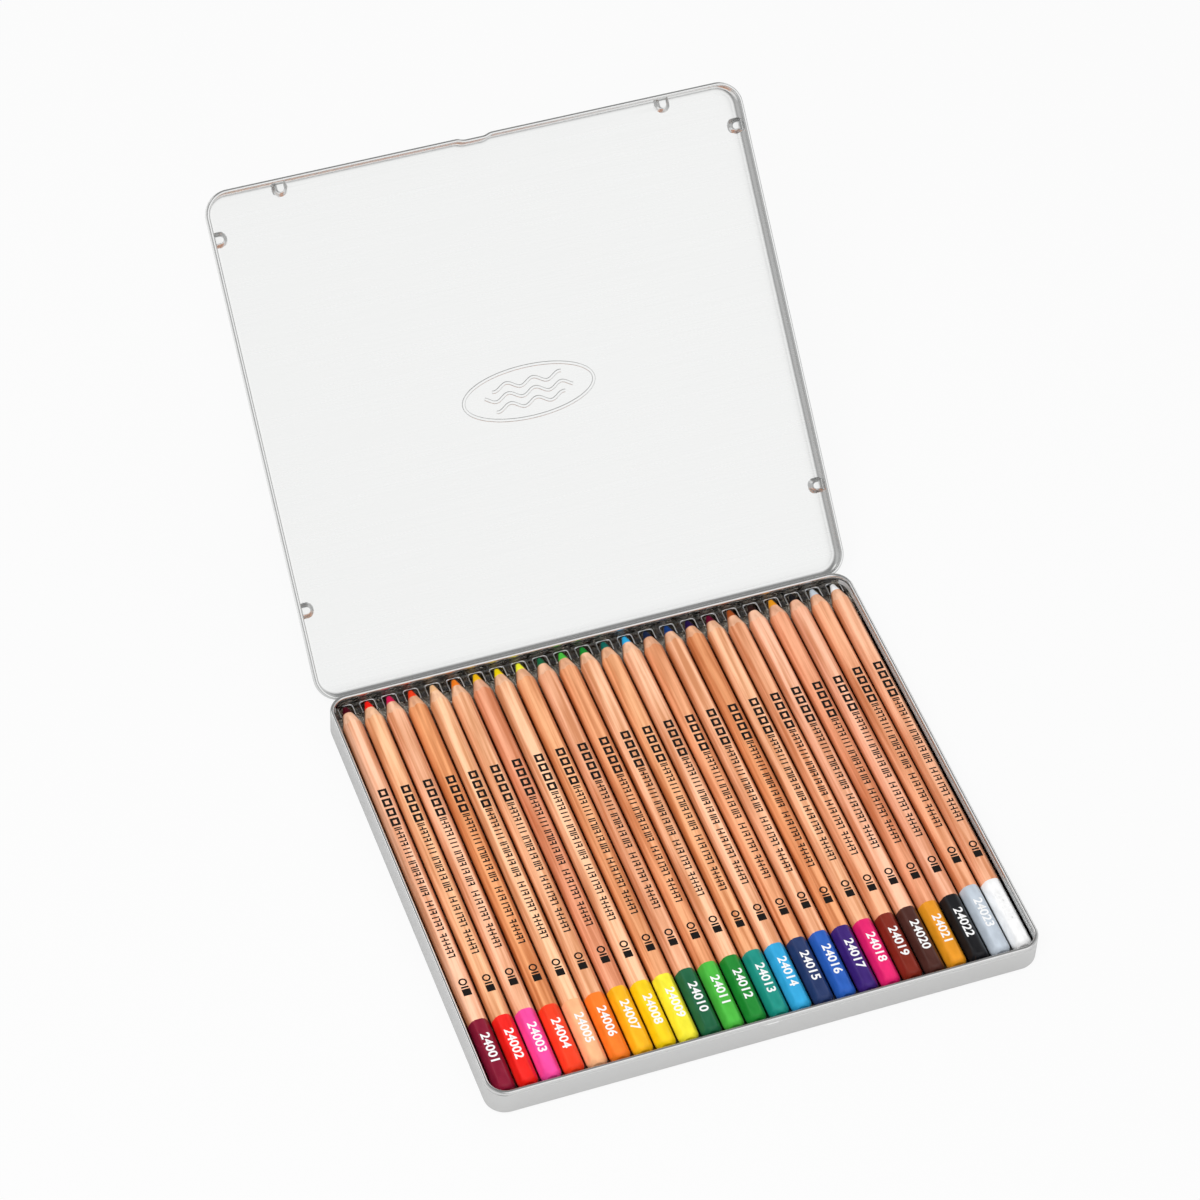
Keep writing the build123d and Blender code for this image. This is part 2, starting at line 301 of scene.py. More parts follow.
def make_piece(
    name, points, faces, materials, body, slot, sharp_degrees=30, plates=(), colour=None, finish=None
):
    """A closed piece in the frame: millimetre points, grid faces and flat plates of many corners. A
    colour is written into every point, and finish gives each grid face the number of its material."""
    mesh = bpy.data.meshes.new(name)
    lists = [list(map(int, face)) for face in faces] + [list(map(int, plate)) for plate in plates]
    mesh.from_pydata((np.asarray(points) / 1000).tolist(), [], lists)
    for material in materials:
        mesh.materials.append(material)
    if colour is not None:
        layer = mesh.attributes.new("tone", "FLOAT_COLOR", "POINT")
        layer.data.foreach_set("color", np.tile(np.append(colour, 1.0), len(points)))
    if finish is not None:
        padded = np.concatenate([finish, np.zeros(len(lists) - len(finish), dtype=int)])
        mesh.polygons.foreach_set("material_index", padded.astype(np.int32))
    shaped = bmesh.new()
    shaped.from_mesh(mesh)
    bmesh.ops.remove_doubles(shaped, verts=shaped.verts, dist=1e-6)
    bmesh.ops.dissolve_degenerate(shaped, edges=shaped.edges, dist=1e-7)
    bmesh.ops.recalc_face_normals(shaped, faces=shaped.faces)
    shaped.to_mesh(mesh)
    shaped.free()
    mesh.polygons.foreach_set("use_smooth", np.ones(len(mesh.polygons), dtype=bool))
    mesh.set_sharp_from_angle(angle=math.radians(sharp_degrees))
    mesh.update()
    piece = bpy.data.objects.new(name, mesh)
    bpy.context.collection.objects.link(piece)
    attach(piece, body)
    return piece


def arc(middle, radius, first, last, count):
    """Points at even angles from first to last degrees: middle plus radius times (cos, sin)."""
    angle = np.radians(np.linspace(first, last, count))
    return np.stack([middle[0] + radius * np.cos(angle), middle[1] + radius * np.sin(angle)], axis=1)


print("surface helpers ready")

# %% [markdown]
# ## The finish of tinplate
#
# Tinplate is thin steel with a coat of tin, here a satin one. It is a metal all through, so metallic
# is one and the colour is a light silver. Rolling leaves hair-fine lines along the sheet. They could
# be real grooves, but those are far below a tenth of a millimetre. So a noise drawn out along the
# rolling direction varies the roughness and the tone a little and gives the faintest bump. All
# darker and lighter areas of the sheet come from what it mirrors.


# %% Tinplate
def tinplate(name, colour, roughness):
    """Satin tin whose tone, roughness and height follow one noise of fine lines along the sheet."""
    material, tree, shader = finish_of(name, Metallic=1.0)
    fine = streaks(tree, (40, 40, 0.3), 3.0)
    darker = tuple(0.97 * c for c in colour) + (1,)
    tone = blend_colours(tree, between(tree, fine, 0.0, 1.0, 0.3, 0.7), darker, tuple(colour) + (1,))
    tree.links.new(tone, shader.inputs["Base Color"])
    rough = between(tree, fine, roughness - 0.015, roughness + 0.02, 0.3, 0.7)
    tree.links.new(rough, shader.inputs["Roughness"])
    bump(tree, shader, fine, 0.0003, 0.3)
    return material


tin_base = tinplate("tinplate_base", (0.78, 0.78, 0.775), 0.25)
tin_lid = tinplate("tinplate_lid", (0.83, 0.835, 0.83), 0.26)
print("tinplate ready")

# %% [markdown]
# ## A rounded outline
#
# Base, lid and tray all follow a rectangle with round corners. Four sides are walked in turn, each
# from the middle of one corner to the middle of the next. Every point also gets the direction that
# leads inwards, so that a wall section can be carried round the outline: an inset along that
# direction keeps straight walls straight and corners round. Extra stations are placed where a side
# carries a detail.


# %% The outline
def side_of_box(along, away, radius, stations, steps, angle, bow=None):
    """One side of a rounded rectangle. Straight part: (station, -away). Corners: quarter arcs, of
    which half belongs to this side. The whole side is then turned about the middle by angle."""
    start = arc((-(along - radius), -(away - radius)), radius, 225, 270, steps + 1)[:-1]
    end = arc((along - radius, -(away - radius)), radius, 270, 315, steps + 1)[1:]
    inner = np.array([s for s in stations if abs(s) < along - radius - 1e-6])
    inner = np.concatenate([[-(along - radius)], inner, [along - radius]])
    lift, slope = (np.zeros_like(inner), np.zeros_like(inner)) if bow is None else bow(inner)
    middle = np.stack([inner, -away + lift], axis=1)
    points = np.concatenate([start, middle, end])
    start_in = -arc((0, 0), 1, 225, 270, steps + 1)[:-1]
    end_in = -arc((0, 0), 1, 270, 315, steps + 1)[1:]
    middle_in = np.stack([-slope, np.ones_like(slope)], axis=1)
    middle_in /= np.linalg.norm(middle_in, axis=1)[:, None]
    inwards = np.concatenate([start_in, middle_in, end_in])
    c, s = math.cos(math.radians(angle)), math.sin(math.radians(angle))
    turn = np.array([[c, s], [-s, c]])
    return points @ turn, inwards @ turn


def four_sides(half_x, half_y, radius, xs, ys, steps, bow=None):
    """Front, right, rear and left side, walked anticlockwise seen from above."""
    xs, ys = np.asarray(xs), np.asarray(ys)
    return [
        side_of_box(half_x, half_y, radius, xs, steps, 0, bow),
        side_of_box(half_y, half_x, radius, ys, steps, 90),
        side_of_box(half_x, half_y, radius, -xs[::-1], steps, 180),
        side_of_box(half_y, half_x, radius, -ys[::-1], steps, 270),
    ]


def round_trip(sides):
    """The sides joined end to end, each without the point that the next one starts with."""
    points = np.concatenate([p[:-1] for p, n in sides])
    inwards = np.concatenate([n[:-1] for p, n in sides])
    return points, inwards


def carry(section, points, inwards):
    """A section of (inset, height) pairs at every station: point + inset * inwards, and the height."""
    level = points[:, None, :] + section[None, :, 0, None] * inwards[:, None, :]
    height = np.broadcast_to(section[None, :, 1, None], level.shape[:2] + (1,))
    return np.concatenate([level, height], axis=2)


def spaced(first, last, gap):
    """Even stations from first to last, about gap apart."""
    return np.linspace(first, last, max(2, round((last - first) / gap) + 1))


print("outline helpers ready")

# %% [markdown]
# ## The base pan
#
# The base is one drawn sheet, 0.3 mm thick: a flat floor, a small radius, an upright wall, and a rim
# rolled inwards into a bead so that no raw edge is left. Just under the bead the wall draws in a
# little. One closed section holds all that, and carrying it round the outline makes the pan. The
# catch in the middle of the front wall is pressed outwards, so there the wall's points move out.

# %% Build the base pan
sheet = 0.3
base_half_x, base_half_y, base_height, base_radius = 99.90, 90.50, 12.0, 7.5
base_bead, base_curl_sweep, floor_radius = 0.77, 291.3, 1.5
outer_foot_points, inner_foot_points = 7, 6


def rolled_wall(edge_radius, bead, height, rows, sweep):
    """From the edge of the flat outside, up the wall, round the curl and back down inside. The two
    sides are arcs about the same middles, one sheet apart."""
    foot = (edge_radius, edge_radius)
    curl = (bead, height - bead)
    rows = np.asarray(rows)
    outside = np.stack([np.zeros_like(rows), rows], axis=1)
    inside = np.stack([np.full_like(rows, sheet), rows[::-1]], axis=1)
    return np.concatenate([
        arc(foot, edge_radius, 270, 180, outer_foot_points),
        outside,
        arc(curl, bead, 180, 180 - sweep, 25),
        arc(curl, bead - sheet, 180 - sweep, 180, 21),
        inside,
        arc(foot, edge_radius - sheet, 180, 270, inner_foot_points),
    ])


catch_z, catch_half_x, catch_half_z, catch_depth = 9.01, 2.65, 1.3, 0.30
catch_corner, catch_edge = 1.0, 0.45
neck_z, neck_depth, neck_height = 10.38, 0.17, 0.16
# Rows of points up the wall, close together at the catch and at the neck under the bead.
rows = np.concatenate([[3.0, 5.0, 7.0], spaced(7.5, 9.9, 0.12), spaced(9.95, 10.9, 0.06)])
section = rolled_wall(floor_radius, base_bead, base_height, rows, base_curl_sweep)
wall = (section[:, 0] <= sheet + 1e-6) & (section[:, 1] < base_height - base_bead)
section[wall, 0] += neck_depth * np.exp(-(((section[wall, 1] - neck_z) / neck_height) ** 2))
xs = np.concatenate([spaced(-90, -8, 12), spaced(-3.4, 3.4, 0.17), spaced(8, 90, 12)])
ys = spaced(-80, 80, 20)
outline, inwards = round_trip(four_sides(base_half_x, base_half_y, base_radius, xs, ys, 8))
pan = carry(section, outline, inwards)


def pad_height(u, v, half_u, half_v, corner, edge):
    """A raised pad: the inside distance to a rounded rectangle, eased from 0 to 1 over the edge."""
    du = np.abs(u) - (half_u - corner)
    dv = np.abs(v) - (half_v - corner)
    outside = np.hypot(np.maximum(du, 0), np.maximum(dv, 0)) + np.minimum(np.maximum(du, dv), 0)
    depth = np.clip((corner - outside) / edge, 0, 1)
    return np.sin(depth * math.pi / 2)


catch = pad_height(
    pan[..., 0], pan[..., 2] - catch_z, catch_half_x, catch_half_z, catch_corner, catch_edge
)
on_front = (pan[..., 1] < -base_half_y + 2 * sheet) & (pan[..., 2] < base_height - 2 * base_bead)
pan[..., 1] -= catch_depth * catch * on_front
stations, steps = pan.shape[:2]
faces = grid_faces(stations, steps, wrap_rows=True)
floor_under = np.arange(stations) * steps
floor_top = floor_under + steps - 1
base_pan = make_piece(
    "tin_base", pan.reshape(-1, 3), faces, [tin_base], "base", "tinplate", plates=[floor_under, floor_top]
)
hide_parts("base_pan")
print("base pan", pan.shape, "faces", len(base_pan.data.polygons))

# %% [markdown]
# ## The lid's shape
#
# The lid is a shallower pan of the same sheet. Its front edge is drawn in by a shallow bow for the
# thumb. Six small stops are pressed into its flat near the edge, half round towards the middle. Both
# could be pulled into shape by hand, point by point, but a formula for each is easier to change.

# %% The lid's sizes, bow and stops
hinge_y, hinge_z, open_degrees = 91.47, 9.22, 136.07
lid_middle_y, lid_top = -0.45, 14.0
lid_half_x, lid_half_y, lid_radius, lid_height = 101.54, 92.64, 9.14, 5.5
lid_bead, lid_curl_sweep, lid_edge = 0.72, 288.6, 3.0
lug_height, lug_width, lug_reach, lug_root, lug_edge = 1.65, 5.5, 5.74, 0.7, 1.7
lug_back = (33.0, 167.8)
lug_side = 72.5
window_half, window_top = 6.3, 3.7
leaf_spacing = 62.0


def thumb_bow(x, depth=0.8, flat_half=3.0, ease=4.0):
    """How far the front edge is drawn in at x, and its slope: two equal arcs lead from 0 to depth."""
    angle = 2 * math.atan(depth / ease)
    radius = ease / 2 / math.sin(angle)
    run = np.clip(flat_half + ease - np.abs(x), 0, ease)
    rising = run <= ease / 2
    part = np.where(rising, run, ease - run)
    drop = radius - np.sqrt(radius**2 - part**2)
    inset = np.where(rising, drop, depth - drop)
    slope = part / np.sqrt(radius**2 - part**2) * -np.sign(x)
    return inset, np.where((run > 0) & (run < ease), slope, 0)


def lug_relief(x, y):
    """Height of the six stops over the flat. Inside distance d to a half-round form, then
    height * sin(90 degrees * d / edge), which is steep at the foot and round at the top."""
    half = lug_width / 2
    total = np.zeros_like(x)
    hinge_line = lid_half_y - lid_bead
    places = [(side, hinge_line - back, 0) for side in (-1, 1) for back in lug_back]
    places += [(side * lug_side, -1, 1) for side in (-1, 1)]
    for a, b, on_front in places:
        if on_front:
            inward, sideways = y + lid_half_y - lug_root, x - a
        else:
            inward, sideways = lid_half_x - lug_root - a * x, y - b
        nose = lug_reach - half
        depth = np.where(inward < nose, half - np.abs(sideways), half - np.hypot(inward - nose, sideways))
        depth = np.clip(np.minimum(depth, inward) / lug_edge, 0, 1)
        total = np.maximum(total, lug_height * np.sin(depth * math.pi / 2))
    return total


print("lid", 2 * lid_half_x, "by", 2 * lid_half_y, "mm with", 2 * len(lug_back) + 2, "stops")

# %% [markdown]
# ## The lid's flat
#
# The flat has to meet a curved outline all round. Filling the outline with one many-sided face would
# give no points for the stops. So the flat is a Coons patch: a grid stretched between the four
# sides, with its lines close together where a stop is pressed in.


# %% Stretch the flat between the sides
def patch(front, right, rear, left):
    """Coons patch: the two ruled grids between facing sides added up, less the grid of the corners.
    Sides run anticlockwise, so the rear and left ones are read backwards."""
    rear, left = rear[::-1], left[::-1]
    u = ((front[:, 0] - front[0, 0]) / (front[-1, 0] - front[0, 0]))[:, None, None]
    v = ((right[:, 1] - right[0, 1]) / (right[-1, 1] - right[0, 1]))[None, :, None]
    ruled_one = (1 - v) * front[:, None, :] + v * rear[:, None, :]
    ruled_two = (1 - u) * left[None, :, :] + u * right[None, :, :]
    corners = (1 - u) * ((1 - v) * front[0] + v * rear[0]) + u * ((1 - v) * front[-1] + v * rear[-1])
    return ruled_one + ruled_two - corners


near_lug = spaced(-3.2, 3.2, 0.4)
beside_lug = spaced(-5.6, 5.6, 0.35)
windows = [middle + side * window_half for middle in (-leaf_spacing, 0, leaf_spacing) for side in (-1, 1)]
xs = np.concatenate([
    spaced(-90, -78, 6), near_lug - lug_side, spaced(-50, -10, 8), spaced(-7, 7, 0.5),
    spaced(10, 50, 8), near_lug + lug_side, spaced(78, 90, 6), windows,
])
xs = np.unique(xs.round(3))
lug_ys = [lid_half_y - lid_bead - back for back in lug_back]
ys = np.unique(np.concatenate([spaced(-62, 50, 8), [68, 74, 81]] + [beside_lug + y for y in lug_ys]).round(3))
sides = four_sides(lid_half_x, lid_half_y, lid_radius, xs, ys, 16, thumb_bow)
edges = [p + lid_edge * n for p, n in sides]
flat = patch(*edges)
relief = lug_relief(flat[..., 0], flat[..., 1])
inner_flat = np.concatenate([flat, (sheet + relief)[..., None]], axis=2)
outer_flat = np.concatenate([flat, relief[..., None]], axis=2)
print("flat of", flat.shape[0], "by", flat.shape[1], "points, stops", relief.max().round(2), "mm high")

# %% [markdown]
# ## The lid's wall and windows
#
# The wall is carried round the same stations as the flat, which leaves no seam. At the hinge the curl
# is cut away in three windows for the leaves of the base. A Boolean modifier would cut them too, but
# it often leaves thin faces that shade badly. Here the windows' faces are left out of the grid, and
# the open edges are closed. The lid is shaped on its back, then turned over and swung open.

# %% Build the lid
outline, inwards = round_trip(sides)
rows = np.array([3.2, 3.45, window_top, 4.3])
section = rolled_wall(lid_edge, lid_bead, lid_height, rows, lid_curl_sweep)
band = carry(section, outline, inwards)
stations, steps = band.shape[:2]
relief = lug_relief(band[..., 0], band[..., 1])
inner_edge = np.arange(steps) >= steps - inner_foot_points
outer_edge = np.arange(steps) < outer_foot_points
band[..., 2] = np.where(inner_edge, np.maximum(band[..., 2], sheet + relief), band[..., 2])
band[..., 2] = np.where(outer_edge, np.maximum(band[..., 2], relief), band[..., 2])

on_rear = outline[:, 1] > lid_half_y - 0.01
in_window = np.zeros(stations, dtype=bool)
for middle in (-leaf_spacing, 0, leaf_spacing):
    here = (outline[:, 0] + np.roll(outline[:, 0], -1)) / 2
    in_window |= on_rear & np.roll(on_rear, -1) & (np.abs(here - middle) < window_half)
window_row = np.flatnonzero(rows == window_top)[0]
outer_top = outer_foot_points + window_row
inner_top = steps - inner_foot_points - 1 - window_row
faces = grid_faces(stations, steps, wrap_rows=True)
row_of = faces[:, 0] // steps
column_of = faces[:, 0] % steps
cut = in_window[row_of] & (column_of >= outer_top) & (column_of < inner_top)
faces = faces[~cut]
this = np.flatnonzero(in_window) * steps
after = (np.flatnonzero(in_window) + 1) % stations * steps
closing = np.stack([this + outer_top, this + inner_top, after + inner_top, after + outer_top], axis=1)
ends = np.flatnonzero(in_window != np.roll(in_window, 1))
caps = [station * steps + np.arange(outer_top, inner_top + 1) for station in ends]
count = stations * steps
nx, ny = flat.shape[:2]
points = np.concatenate([band.reshape(-1, 3), inner_flat.reshape(-1, 3), outer_flat.reshape(-1, 3)])
inner_faces = grid_faces(nx, ny, first=count)
outer_faces = grid_faces(nx, ny, first=count + nx * ny)
faces = np.concatenate([faces, closing, inner_faces, outer_faces])


def onto_hinge(points):
    """The lid on its back is turned over onto the base, then swung open about the hinge line:
    a half turn about Y, a shift, and a turn about X by the opening angle."""
    x, y, z = -points[:, 0], points[:, 1] + lid_middle_y, lid_top - points[:, 2]
    swing = math.radians(-open_degrees)
    dy, dz = y - hinge_y, z - hinge_z
    y = hinge_y + dy * math.cos(swing) - dz * math.sin(swing)
    z = hinge_z + dy * math.sin(swing) + dz * math.cos(swing)
    return np.stack([x, y, z], axis=1)


lid = make_piece("tin_lid", onto_hinge(points), faces, [tin_lid], "lid", "tinplate", plates=caps)
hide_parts("lid")
print("lid", band.shape, flat.shape, "faces", len(lid.data.polygons), "windows", len(ends) // 2)

# %% [markdown]
# ## The emboss
#
# The middle of the lid carries a shallow emboss. Here it is a plain oval with three waves in it.
# Pressing such fine lines into the flat would need a far finer grid all over. So every line is a low
# rounded ridge of its own, laid along a path and sunk a little into the sheet.


# %% Build the emboss
def ridge(path, half_width, rise, closed):
    """A ridge along a path, of height rise * (1 - (offset / half_width)^4), with its foot in the sheet."""
    ahead = np.roll(path, -1, axis=0) - np.roll(path, 1, axis=0)
    if not closed:
        ahead[0], ahead[-1] = path[1] - path[0], path[-1] - path[-2]
    ahead /= np.linalg.norm(ahead, axis=1)[:, None]
    sideways = np.stack([-ahead[:, 1], ahead[:, 0]], axis=1)
    share = np.linspace(-1, 1, 11)
    top = np.stack([half_width * share, sheet + rise * (1 - share**4)], axis=1)
    foot = np.array([[half_width, sheet - 0.05], [-half_width, sheet - 0.05]])
    return carry(np.concatenate([top, foot]), path, sideways)


from_hinge = 90.7
emboss_y = lid_half_y - lid_bead - from_hinge
oval_x, oval_y = 24.8, 9.2
line_half, line_rise = 0.6, 0.13
wave_gap, wave_rise, wave_turn, wave_share = 3.7, 1.1, 0.62, 0.45
around = np.linspace(0, 2 * math.pi, 97)[:-1]
oval = np.stack([oval_x * np.cos(around), emboss_y + oval_y * np.sin(around)], axis=1)
lines = [(ridge(oval, line_half, line_rise, True), True)]
# The waves end on a smaller oval, whose squared size is wave_share of the outer one's.
for wave_y in (-wave_gap, 0.0, wave_gap):
    reach = oval_x * math.sqrt(wave_share - (wave_y / oval_y) ** 2)
    x = np.linspace(-reach, reach, 61)
    wave = np.stack([x, emboss_y + wave_y + wave_rise * np.sin(wave_turn * x)], axis=1)
    lines.append((ridge(wave, line_half, line_rise, False), False))
points, faces, plates = [], [], []
for line, closed in lines:
    first = sum(map(len, points))
    rows_here, steps = line.shape[:2]
    points.append(line.reshape(-1, 3))
    faces.append(grid_faces(rows_here, steps, wrap_rows=closed, wrap_columns=True, first=first))
    if not closed:
        plates += [first + np.arange(steps), first + (rows_here - 1) * steps + np.arange(steps)]
emboss = make_piece(
    "lid_emboss", onto_hinge(np.concatenate(points)), np.concatenate(faces), [tin_lid], "lid", "tinplate",
    sharp_degrees=60, plates=plates,
)
print("emboss of", len(lines), "lines, faces", len(emboss.data.polygons))

# %% [markdown]
# ## Hinge wire and leaves
#
# A steel wire runs inside the lid's curl, and three short strips of the base curl round it. Their
# shapes from the CAD model are right as they are. They only get a better finish, drawn steel with
# fine scratches along the wire, in the material slots that they already have.

# %% Hinge steel
steel, tree, shader = finish_of("hinge_steel", Metallic=1.0)
scratches = streaks(tree, (12, 0.12, 0.12), 3.0)
tone = blend_colours(tree, scratches, (0.42, 0.42, 0.43, 1), (0.62, 0.62, 0.63, 1))
tree.links.new(tone, shader.inputs["Base Color"])
tree.links.new(between(tree, scratches, 0.24, 0.42), shader.inputs["Roughness"])
bump(tree, shader, scratches, 0.004, 0.5)
for node in ("hinge_wire", "hinge_leaf_left", "hinge_leaf_centre", "hinge_leaf_right"):
    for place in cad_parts[node].material_slots:
        place.material = steel
print("hinge steel on four nodes")

# %% [markdown]
# ## The clear tray
#
# A thin clear sheet, warmed and drawn over a mould, holds every pencil in its own groove. At the tips
# the grooves turn into deeper cells. Seen from above it shows mostly as bright edges, where the sheet
# bends. The sheet is a height over the base, with an upper and a lower face 0.3 mm apart, so light
# bends in it as in the real one. A mean of several shifted ramps rounds every fold of the grooves.
# A cell's outline is a square with round corners, from a power mean.

# %% Form the grooves and cells
pitch, row_offset, pencil_count = 8.14, 0.5, 24
pencil_x = row_offset + pitch * (np.arange(pencil_count) - (pencil_count - 1) / 2)
tray_floor, ridge_z, tip_ridge_z = 3.55, 6.11, 7.8
tray_half_x, tray_half_y, tray_radius = 98.42, 89.0, 6.0
step_y, step_run = 83.475, 0.25
groove_floor_half, groove_top_half = 1.992, 3.47
cell_floor_half, cell_side_run = 1.9, 0.65
flat_margin_x = 97.8
cell_turn_y, cell_closing = 86.3, 1.06
wall_half_x, wall_half_y, wall_radius = 98.3, 88.9, 5.9


def groove(offset, floor_half, top_half, ridge):
    """A flat floor with slanting sides up to a flat ridge; five ramps 0.09 mm apart are averaged."""
    shifts = np.linspace(-0.18, 0.18, 5)
    distance = np.abs(offset)[..., None] + shifts
    share = np.clip((distance - floor_half) / (top_half - floor_half), 0, 1)
    return tray_floor + (ridge - tray_floor) * share.mean(axis=-1)


shoulder, shoulder_x = 0.4, 2.894


def tip_cell(distance):
    """A flat floor, a steep side, and a quarter round of the radius shoulder."""
    run = np.clip((distance - cell_floor_half) / cell_side_run, 0, 1)
    side = tray_floor + (tip_ridge_z - tray_floor) * run
    short = np.clip(shoulder_x - distance, 0, shoulder)
    rounded = tip_ridge_z - shoulder + np.sqrt(shoulder**2 - short**2)
    return np.where(distance > shoulder_x - 0.99 * shoulder, rounded, side)


# Grid lines across half a groove, with the last one half a pitch out, and round the shoulder.
half_groove = np.array([0.0, 1.0, 1.6, 1.9, 2.1, 2.3, 3.2, 3.45, 4.07])
half_groove = np.concatenate([half_groove, shoulder_x - shoulder * np.sin(np.radians(np.linspace(0, 81, 6)))])
lines_x = (pencil_x[:, None] + np.concatenate([-half_groove, half_groove])).ravel()
lines_x = np.concatenate([lines_x, [-tray_half_x, -flat_margin_x, flat_margin_x, tray_half_x]])
lines_x = np.unique(lines_x.round(3))
corner = tray_half_y - tray_radius * (1 - np.sin(np.radians(np.linspace(0, 90, 7))))
lines_y = np.concatenate([-corner[::-1], [-40, 0, 40], spaced(step_y - 0.25, step_y + 0.35, 0.1), corner])
lines_y = np.concatenate([lines_y, spaced(cell_turn_y, wall_half_y, 0.13)])
lines_y = np.unique(lines_y.round(3))
past = np.clip(np.abs(lines_y) - (tray_half_y - tray_radius), 0, tray_radius)
reach = tray_half_x - tray_radius + np.sqrt(tray_radius**2 - past**2)
x = np.clip(lines_x[:, None], -reach, reach)
y = np.broadcast_to(lines_y, x.shape)
nearest = pencil_x[np.clip(np.rint((x - pencil_x[0]) / pitch), 0, pencil_count - 1).astype(int)]
barrel_wave = groove(x - nearest, groove_floor_half, groove_top_half, ridge_z)
past_straight = cell_closing * np.clip(y - cell_turn_y, 0, None)
from_middle = ((x - nearest) ** 6 + past_straight**6) ** (1 / 6)
tip_wave = tip_cell(from_middle)
at_tips = np.clip((y - step_y) / step_run, 0, 1)
top = barrel_wave + (tip_wave - barrel_wave) * at_tips * at_tips * (3 - 2 * at_tips)
upper = np.stack([x, y, top], axis=2)
lower = np.stack([x, y, top - sheet], axis=2)
print("tray grid", x.shape, "heights from", top.min().round(2), "to", top.max().round(2))

# %% [markdown]
# ## The tray's wall
#
# A thin wall that leans a little outwards runs round the tray, up to just under the base's bead. A
# single sheet with a Solidify modifier would give it thickness too. A closed section carried round
# the outline also gives it a round top, and lets the tops of the side walls carry a painted
# highlight.

# %% Close the sheet and add the wall
nx, ny = x.shape
count = nx * ny
edge = np.concatenate([
    np.arange(ny),
    np.arange(1, nx) * ny + ny - 1,
    (nx - 1) * ny + np.arange(ny - 2, -1, -1),
    np.arange(nx - 2, 0, -1) * ny,
])
rim = np.stack([edge, np.roll(edge, -1), np.roll(edge, -1) + count, edge + count], axis=1)
grid = grid_faces(nx, ny)
faces = np.concatenate([grid, grid_faces(nx, ny, first=count), rim])
points = np.concatenate([upper.reshape(-1, 3), lower.reshape(-1, 3)])
# The faces along each cell's fold get a pale translucent finish, a painted highlight for the light that the
# bend catches.
fold_inset, fold_half, fold_start_y = 0.21, 0.11, step_y + 0.3
middle_of = from_middle.ravel()[grid].mean(axis=1)
fold_glint = np.abs(middle_of - shoulder_x + fold_inset) < fold_half
fold_glint &= y.ravel()[grid].min(axis=1) > fold_start_y

# The wall as (inset, height) pairs. It stands on the base's sheet. At the sides its top, above the
# height below, has the pale finish: a painted highlight.
glint_z = 8.0
wall_top = arc((-0.45, 9.65), sheet / 2, 180, 0, 7)
outer_face = [[0.0, sheet], [-0.49, glint_z]]
inner_face = [[-0.19, glint_z], [sheet, sheet]]
wall_section = np.concatenate([outer_face, wall_top, inner_face])
stations = spaced(-80, 80, 20)
outline, inwards = round_trip(four_sides(wall_half_x, wall_half_y, wall_radius, stations, stations, 8))
wall = carry(wall_section, outline, inwards)
wall_faces = grid_faces(*wall.shape[:2], wrap_rows=True, wrap_columns=True, first=len(points))
wall_step = (wall_faces[:, 0] - len(points)) % len(wall_section)
at_side = np.abs(inwards[(wall_faces[:, 0] - len(points)) // len(wall_section), 0]) > 0.7
glint_wall_top = at_side & (wall_step > 0) & (wall_step < len(wall_section) - 2)
painted_glint = np.concatenate([fold_glint, np.zeros(len(faces) - len(grid), dtype=bool), glint_wall_top]).astype(int)
faces = np.concatenate([faces, wall_faces])
points = np.concatenate([points, wall.reshape(-1, 3)])
print("whitish faces", painted_glint.sum(), "of", len(faces))

# %% [markdown]
# ## The clear finish
#
# Clear sheet lets most of the light through and bends it, and a little haze tells it from glass.
# Fine bends in it catch the light as thin pale lines, which are too narrow for the sky's patches
# here. A translucent pale finish on the cells' edges and on the tops of the side walls is a painted
# highlight that stands in for them.

# %% Finish the tray
clear, tree, shader = finish_of("clear_sheet", Transmission_Weight=1.0, IOR=1.5)
haze = streaks(tree, (6, 20, 6), 1.0)
tree.links.new(between(tree, haze, 0.01, 0.04, 0.3, 0.8), shader.inputs["Roughness"])
tint = blend_colours(tree, haze, (0.80, 0.77, 0.73, 1), (0.90, 0.88, 0.85, 1))
tree.links.new(tint, shader.inputs["Base Color"])
# The pale finish is a painted highlight: it stands in for the glints of light on the bends.
glint_finish, tree, shader = finish_of("clear_fold_glint", Transmission_Weight=0.45, IOR=1.5)
haze = streaks(tree, (1.5, 1.5, 1.5), 1.0)
tree.links.new(between(tree, haze, 0.15, 0.30), shader.inputs["Roughness"])
pale = blend_colours(tree, haze, (0.80, 0.82, 0.82, 1), (0.94, 0.95, 0.95, 1))
tree.links.new(pale, shader.inputs["Base Color"])
tray = make_piece("clear_tray", points, faces, [clear, glint_finish], "base", "clear_tray", finish=painted_glint)
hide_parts("pencil_tray")
print("tray", x.shape, "faces", len(tray.data.polygons))

# %% [markdown]
# ## The pencil's section
#
# A pencil is a hexagon whose edges have been sanded round. A sharp hexagon with a Bevel modifier
# would do for one barrel, but the sharpened end cuts its flats into scallops, and that needs a formula
# for the section. Here the radius at an angle comes from three pairs of flats by a power mean, which
# is flat in the middle of each side and round at the edges. Barrel, dipped end and lead are all made
# of such rings along the pencil, so one function turns rings into a piece.

# %% The hexagonal section
flat_radius, axis_z = 3.4, 7.0
turns = np.linspace(-1, 1, 17)[:-1]
bunched = np.sign(turns) * np.abs(turns) ** 1.7
section_angle = (np.arange(6)[:, None] * 60 + 30 * bunched[None, :]).ravel()


def hexagon(degrees, flat=flat_radius, power=13):
    """Radius = flat / (sum of |cos(angle - flat's angle)|^power)^(1/power) over the flats at 90, 30
    and 150 degrees. A higher power gives a sharper edge."""
    away = np.radians(degrees[:, None] - np.array([90.0, 30.0, 150.0]))
    return flat / (np.abs(np.cos(away)) ** power).sum(axis=1) ** (1 / power)


